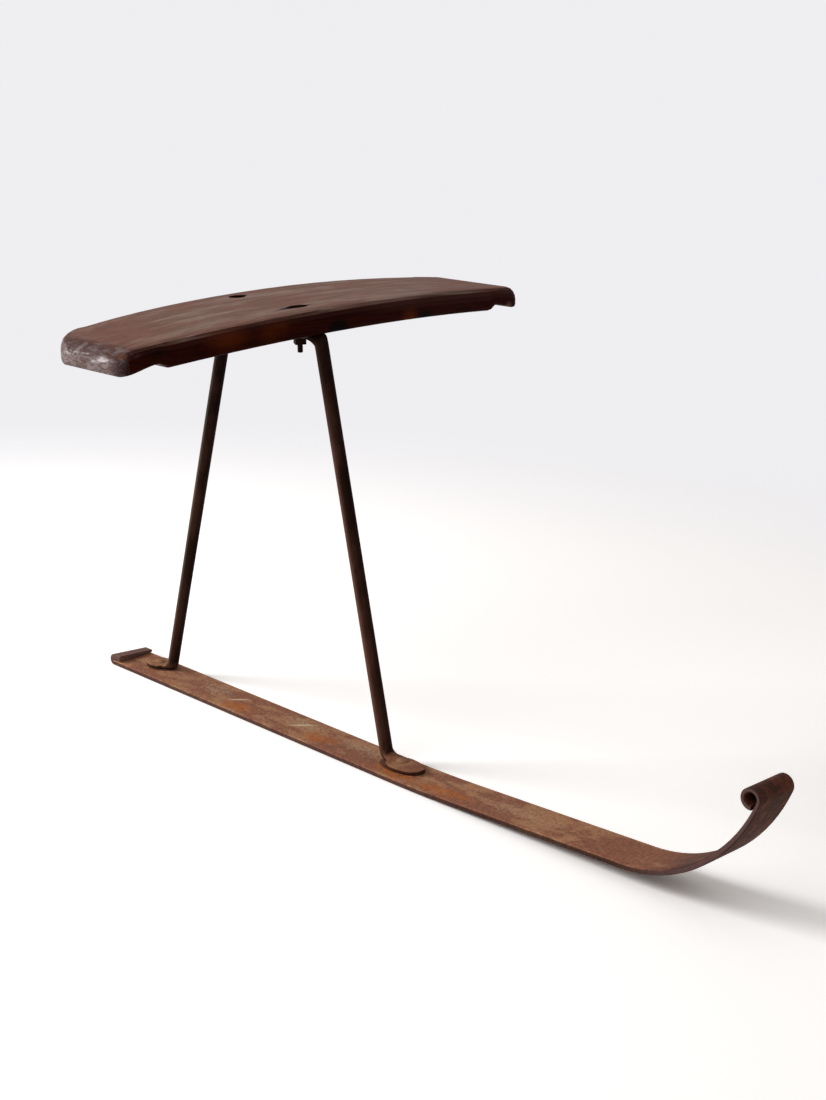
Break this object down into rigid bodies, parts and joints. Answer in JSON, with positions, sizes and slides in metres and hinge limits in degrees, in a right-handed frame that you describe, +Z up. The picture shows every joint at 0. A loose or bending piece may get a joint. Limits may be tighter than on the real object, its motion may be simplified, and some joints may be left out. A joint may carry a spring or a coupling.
{
  "type": "single-runner ski sled",
  "caption": "Low seat sled: an arched wooden seat board bolted to a bent iron rod frame that is riveted to one flat iron runner with a rolled nose.",
  "frame": {"origin": "on the floor, on the middle line of the runner's sole, under the crossbar and between the frame's feet", "axes": "+X along the runner towards its rolled nose, +Y to the left of a rider who faces the nose, +Z up"},
  "size_m": [0.8166, 0.4951, 0.4141],
  "materials": {
    "worn_wood": "old varnished hardwood, worn and weathered",
    "dark_iron": "dark forged iron with brown rust",
    "rusted_iron": "flat iron strip with an even brown and orange rust"
  },
  "bodies": {
    "root": {"seat_board": "worn_wood", "frame_rod": "dark_iron", "runner": "rusted_iron", "rivet_front": "dark_iron", "rivet_rear": "dark_iron", "bolt_front": "dark_iron", "bolt_rear": "dark_iron", "nut_front": "dark_iron", "nut_rear": "dark_iron"}
  },
  "joints": []
}
